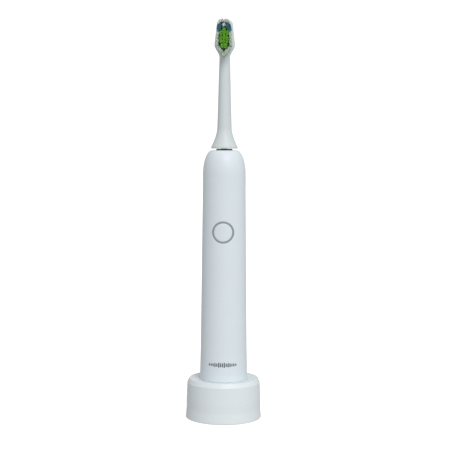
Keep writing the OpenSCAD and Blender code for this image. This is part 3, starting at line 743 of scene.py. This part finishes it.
def build_gland():
    """Rubber gland: flange inside the wall, ribbed barrel through it and a rounded mouth."""
    back, face, flange_r, flange_t = gland_low.y, gland_high.y, gland_high.x, 1.2
    groove, bevel, mouth = 0.15, 0.2, face - 0.8
    outline = [(GLAND_BORE_R, back), (flange_r - bevel, back), (flange_r, back + bevel),
               (flange_r, back + flange_t), (GLAND_R, back + flange_t)]
    for y in spread(back + flange_t + 0.6, face - 1.2, 4):
        outline += [(GLAND_R, y - groove), (GLAND_R - groove, y), (GLAND_R, y + groove)]
    outline += rounded([(GLAND_R, mouth, 0), (GLAND_R, face, 0.3), (GLAND_BORE_R, face, 0.35),
                        (GLAND_BORE_R, mouth, 0)])
    bm = bmesh.new()
    lathe(bm, outline, (0, 0, GLAND_Z), about_y=True)
    make_piece("cord_gland_moulding", bm, "charger", "gland_grey", ["cord_gland"])


def build_feet():
    """Rubber feet: round pads with a rounded edge and a shallow dimple underneath."""
    dimple, edge = 0.15, 0.35
    outline = [(0, dimple), (1.2, dimple), (1.35, 0),
               *rounded([(2.0, 0, 0), (PAD_R, 0, edge), (PAD_R, PAD_H, 0)]), (0, PAD_H)]
    bm = bmesh.new()
    for place in ring_places(4, PAD_RING_R):
        lathe(bm, outline, place, around=48)
    make_piece("rubber_pads", bm, "charger", slot_of["rubber_feet"], ["rubber_feet"])


def build_underside():
    """Moulded rings and a blank rating panel on the base plate, between the feet."""
    proud, sunk, bevel = 0.2, 0.1, 0.08
    low, high = plate_low.z - proud, plate_low.z + sunk
    half_width, edge = 0.35, 0.1
    end_points, half_length, end_r = 14, 4.0, 3.4
    bm = bmesh.new()
    for r in (9.4, 11.2):
        lathe(bm, rounded([(r - half_width, high, 0), (r - half_width, low, edge),
                           (r + half_width, low, edge), (r + half_width, high, 0)]), around=96)
    rings = []
    for inset, z in ((0, high), (0, low + bevel), (bevel, low), (0.55, low), (0.62, low + bevel)):
        ring = []
        for side in (1, -1):
            for k in range(end_points):
                turn = math.pi * (k / (end_points - 1) - 0.5)
                ring.append(bm.verts.new((side * (half_length + (end_r - inset) * math.cos(turn)),
                                          side * (end_r - inset) * math.sin(turn), z)))
        rings.append(ring)
    loft(bm, rings)
    bm.faces.new(rings[0])
    bm.faces.new(rings[-1])
    make_piece("base_plate_panel", bm, "charger", "base_grey")


# ---------------------------------------------------------------- brush head

# Squareness of a plain ellipse
ROUND = 2


def skirt_radius(h, grow=0.0):
    """Hollow curve of the skirt's side at a height above its edge."""
    t = min(1, max(0, (h - SKIRT_RIM) / SKIRT_H))
    return NECK_R + grow + (SKIRT_R - NECK_R) * (1 - t) ** SKIRT_POWER


def plate_half_width(h):
    """Half the width of the plate's outline, wrapped round its discs, at a height above the skirt."""
    steps = 41
    widest = 0
    for (x0, z0, r0), (x1, z1, r1) in zip(PLATE_DISCS, PLATE_DISCS[1:]):
        for t in spread(0, 1, steps):
            r, drop = r0 + (r1 - r0) * t, abs(h - z0 - (z1 - z0) * t)
            if drop < r:
                widest = max(widest, x0 + (x1 - x0) * t + math.sqrt(r * r - drop * drop))
    return widest


def head_section(h):
    """Half width, half depth and squareness of the brush head above its skirt. The width is averaged
    over a few heights, so that the plate grows softly out of the neck."""
    round_below, neck_end = 54, 70
    neck = between(NECK, h)
    blur = 1.2 * (1 - eased(64, 68, h))
    offsets = [blur * k / 3 for k in range(-3, 4)]
    widths = [max(neck * (h < neck_end), plate_half_width(h + offset)) for offset in offsets]
    depth = neck + (PLATE_DEPTH - neck) * eased(round_below, 60.5, h)
    return sum(widths) / len(widths), depth, ROUND + 2.6 * eased(round_below, 61, h)


def oval(bm, width, depth, squareness, z):
    """Ring of points on an ellipse, squared off where the squareness is above ROUND."""
    around = 96
    points = []
    for j in range(around):
        turn = 2 * math.pi * j / around
        x, y = math.cos(turn), math.sin(turn)
        points.append(bm.verts.new((
            width * math.copysign(abs(x) ** (2 / squareness), x),
            depth * math.copysign(abs(y) ** (2 / squareness), y), z)))
    return points


def build_head():
    """Brush head in one moulding: hollow skirt, slim neck and the shield-shaped plate."""
    bore_r, roof = INSERT_R + 0.02, insert_high.z - HEAD_Z + 0.02
    neck_low, neck_high, tip_low = SKIRT_RIM + SKIRT_H + 0.7, 52, HEAD_LEN - PLATE_TIP_R
    inside = [(bore_r, roof), (bore_r, SKIRT_RIM + SKIRT_H + 0.6)]
    inside += [(skirt_radius(h, -SKIRT_WALL), h) for h in spread(SKIRT_RIM + SKIRT_H, SKIRT_RIM, 13)]
    mouth = rounded([(SKIRT_R - SKIRT_WALL, SKIRT_RIM, 0), (SKIRT_R - SKIRT_WALL, 0, 0.2),
                     (SKIRT_R, 0, 0.35), (SKIRT_R, SKIRT_RIM, 0)])
    skirt = [(skirt_radius(h), h) for h in spread(SKIRT_RIM, SKIRT_RIM + SKIRT_H, 25)]
    neck = [(between(NECK, h), h) for h in spread(neck_low, neck_high, 40)]
    bm = bmesh.new()
    rings = [[bm.verts.new((0, 0, HEAD_Z + roof))]]
    for r, h in inside + mouth[1:-1] + skirt + neck:
        rings.append(oval(bm, r, r, ROUND, HEAD_Z + h))
    for h in spread(neck_high + 0.6, tip_low, 60):
        rings.append(oval(bm, *head_section(h), HEAD_Z + h))
    for turn in spread(6, 84, 14):
        h = tip_low + PLATE_TIP_R * math.sin(math.radians(turn))
        taper = max(0, h - (HEAD_LEN - PLATE_EDGE)) / PLATE_EDGE
        width, depth, squareness = head_section(h)
        depth -= PLATE_EDGE * (1 - math.sqrt(1 - taper * taper))
        rings.append(oval(bm, width, depth, squareness, HEAD_Z + h))
    width, depth, squareness = head_section(HEAD_LEN - 0.02)
    rings.append(oval(bm, width * 0.9, (depth - PLATE_EDGE) * 0.8, squareness, HEAD_Z + HEAD_LEN))
    rings.append([bm.verts.new((0, 0, HEAD_Z + HEAD_LEN))])
    loft(bm, rings)
    make_piece("brush_head_moulding", bm, "brush_head", slot_of["brush_head_body"], ["brush_head_body"])


def tuft_places(node):
    """Each separate solid of a tuft node: its middle, the way it is long, half its length and width,
    and the y of its tip and root."""
    source = frame["nodes"][node]
    bm = bmesh.new()
    bm.from_mesh(source.data)
    bmesh.ops.transform(bm, matrix=source.matrix_world, verts=bm.verts)
    bmesh.ops.remove_doubles(bm, verts=bm.verts, dist=1e-6)
    unseen, places = set(bm.verts), []
    while unseen:
        island, front = set(), [unseen.pop()]
        while front:
            vert = front.pop()
            island.add(vert)
            touching = {edge.other_vert(vert) for edge in vert.link_edges} & unseen
            unseen -= touching
            front += touching
        flat = sorted({(round(v.co.x / MM, 3), round(v.co.z / MM, 3)) for v in island})
        one, two = max(((a, b) for a in flat for b in flat), key=lambda pair: math.dist(*pair))
        long = (Vector(two) - Vector(one)).normalized()
        middle = (Vector(one) + Vector(two)) / 2
        across = Vector((-long.y, long.x))
        half_width = max(abs((Vector(p) - middle).dot(across)) for p in flat)
        depths = [v.co.y / MM for v in island]
        places.append((middle, long, math.dist(one, two) / 2, half_width, min(depths), max(depths)))
    bm.free()
    return sorted(places, key=lambda place: (round(place[0].y, 2), round(place[0].x, 2)))


def filament(bm, strand, along, root, tip, radius, shade):
    """One nylon filament from root to tip, bending outwards, with a rounded end; a station is
    (part of its length, part of its radius)."""
    stations = ((0, 1), (0.5, 1), (0.985, 1), (0.994, 0.8))
    sides = 5
    rings = []
    for t, swell in stations:
        bend = t * t
        x, z = root.x + (tip.x - root.x) * bend, root.z + (tip.z - root.z) * bend
        y = root.y + (tip.y - root.y) * t
        rings.append([bm.verts.new((x + radius * swell * math.cos(2 * math.pi * j / sides), y,
                                    z + radius * swell * math.sin(2 * math.pi * j / sides)))
                      for j in range(sides)])
    rings.append([bm.verts.new(tip)])
    for ring, t in zip(rings, [t for t, _ in stations] + [1]):
        for vert in ring:
            vert[strand], vert[along] = shade, t
    loft(bm, rings)
    bm.faces.new(rings[0])


def build_tufts(name, node, splay, rise=0.0):
    """Bundles of filaments set where the node's solids are, spreading a little towards their tips and
    leaning upwards by a rise."""
    chance = random.Random(SEED + len(name))
    pitch, row_step, radius, jitter, uneven = 0.25, 0.87, 0.12, 0.04, 0.12
    bm = bmesh.new()
    strand, along = bm.verts.layers.float.new("strand"), bm.verts.layers.float.new("along")
    for middle, long, half_length, half_width, tip_y, root_y in tuft_places(node):
        across = Vector((-long.y, long.x))
        straight = half_length - half_width
        rows = int(half_width / (pitch * row_step))
        columns = int(half_length / pitch) + 1
        for row in range(-rows, rows + 1):
            for column in range(-columns, columns + 1):
                u = (column + 0.5 * (row % 2)) * pitch + chance.uniform(-jitter, jitter)
                v = row * pitch * row_step + chance.uniform(-jitter, jitter)
                over = max(0, abs(u) - straight)
                if math.hypot(over, v) > half_width - radius:
                    continue
                spot = middle + long * u + across * v
                lean = (long * u + across * v) * splay
                root = Vector((spot.x, root_y, spot.y))
                tip = Vector((spot.x + lean.x + chance.gauss(0, jitter),
                              tip_y + abs(chance.gauss(0, uneven)),
                              spot.y + lean.y + rise + chance.gauss(0, jitter)))
                filament(bm, strand, along, root, tip, radius, chance.random())
    make_piece(name, bm, "brush_head", slot_of[node], [node])


build_housing()
build_gland()
build_feet()
build_underside()
build_handle()
build_button()
build_mark()
build_seal()
build_head()
build_tufts("bristles_white", "tufts_white", 0.18, 0.4)
build_tufts("bristles_blue", "tufts_blue", 0.14)
build_tufts("bristles_green", "tufts_green", 0.2)
build_tufts("bristles_pale", "tufts_pale", 0.14)


# ---------------------------------------------------------------- camera, floor and light

def build_camera():
    """Camera a little to the right of the front and above the gap under the brush head, tipped down."""
    distance, aside, rise = 0.720, 0.00055, 0.004
    azimuth, tip, roll = math.radians(2.8), math.radians(4.0), math.radians(0.21)
    data = bpy.data.cameras.new("camera")
    data.sensor_width = 36
    data.lens = 92.9
    camera = bpy.data.objects.new("camera", data)
    camera.location = Matrix.Rotation(azimuth, 3, "Z") @ Vector((aside, -distance, HANDLE_TOP * MM + rise))
    camera.rotation_euler = (math.pi / 2 - tip, 0, azimuth)
    camera.rotation_euler.rotate_axis("Z", roll)
    bpy.context.scene.collection.objects.link(camera)
    bpy.context.scene.camera = camera


def toward(azimuth, elevation):
    """Direction to a light; azimuth turns to the right from the front."""
    a, e = math.radians(azimuth), math.radians(elevation)
    return (math.cos(e) * math.sin(a), -math.cos(e) * math.cos(a), math.sin(e))


def build_stage():
    """White floor and surroundings, a large soft light from above the front right and a weak one behind,
    which doesn't show in reflections."""
    half_size, lighting, backdrop = 4, 0.51, 1.1
    suns = (("key", 2.0, 35, toward(22, 41)), ("rear_fill", 0.6, 30, toward(183, 4)))
    bm = bmesh.new()
    bmesh.ops.create_grid(bm, x_segments=2, y_segments=2, size=half_size)
    mesh = bpy.data.meshes.new("floor")
    bm.to_mesh(mesh)
    bm.free()
    floor = bpy.data.objects.new("floor", mesh)
    bpy.context.scene.collection.objects.link(floor)
    floor.visible_diffuse = False
    floor.visible_glossy = False
    paper = Look("floor_paper", (0.9, 0.9, 0.9), 0.9, Emission_Color=(1, 1, 1, 1), Emission_Strength=0.5)
    mesh.materials.append(paper.material)
    world = bpy.data.worlds.new("studio")
    bpy.context.scene.world = world
    world.use_nodes = True
    tree = world.node_tree
    background = tree.nodes["Background"]
    background.inputs["Color"].default_value = (1, 1, 1, 1)
    seen = tree.nodes.new("ShaderNodeLightPath").outputs["Is Camera Ray"]
    strength = tree.nodes.new("ShaderNodeMapRange")
    tree.links.new(seen, strength.inputs["Value"])
    strength.inputs["To Min"].default_value = lighting
    strength.inputs["To Max"].default_value = backdrop
    tree.links.new(strength.outputs["Result"], background.inputs["Strength"])
    for name, energy, softness, direction in suns:
        sun = bpy.data.lights.new(name, "SUN")
        sun.energy = energy
        sun.angle = math.radians(softness)
        light = bpy.data.objects.new(name, sun)
        light.rotation_euler = Vector(direction).to_track_quat("Z", "Y").to_euler()
        light.visible_glossy = name == "key"
        bpy.context.scene.collection.objects.link(light)


build_camera()
build_stage()
bpy.context.scene.view_settings.view_transform = "Standard"

for name, node in frame["nodes"].items():
    node.data.materials.clear()
    node.data.materials.append(looks[slot_of[name]])
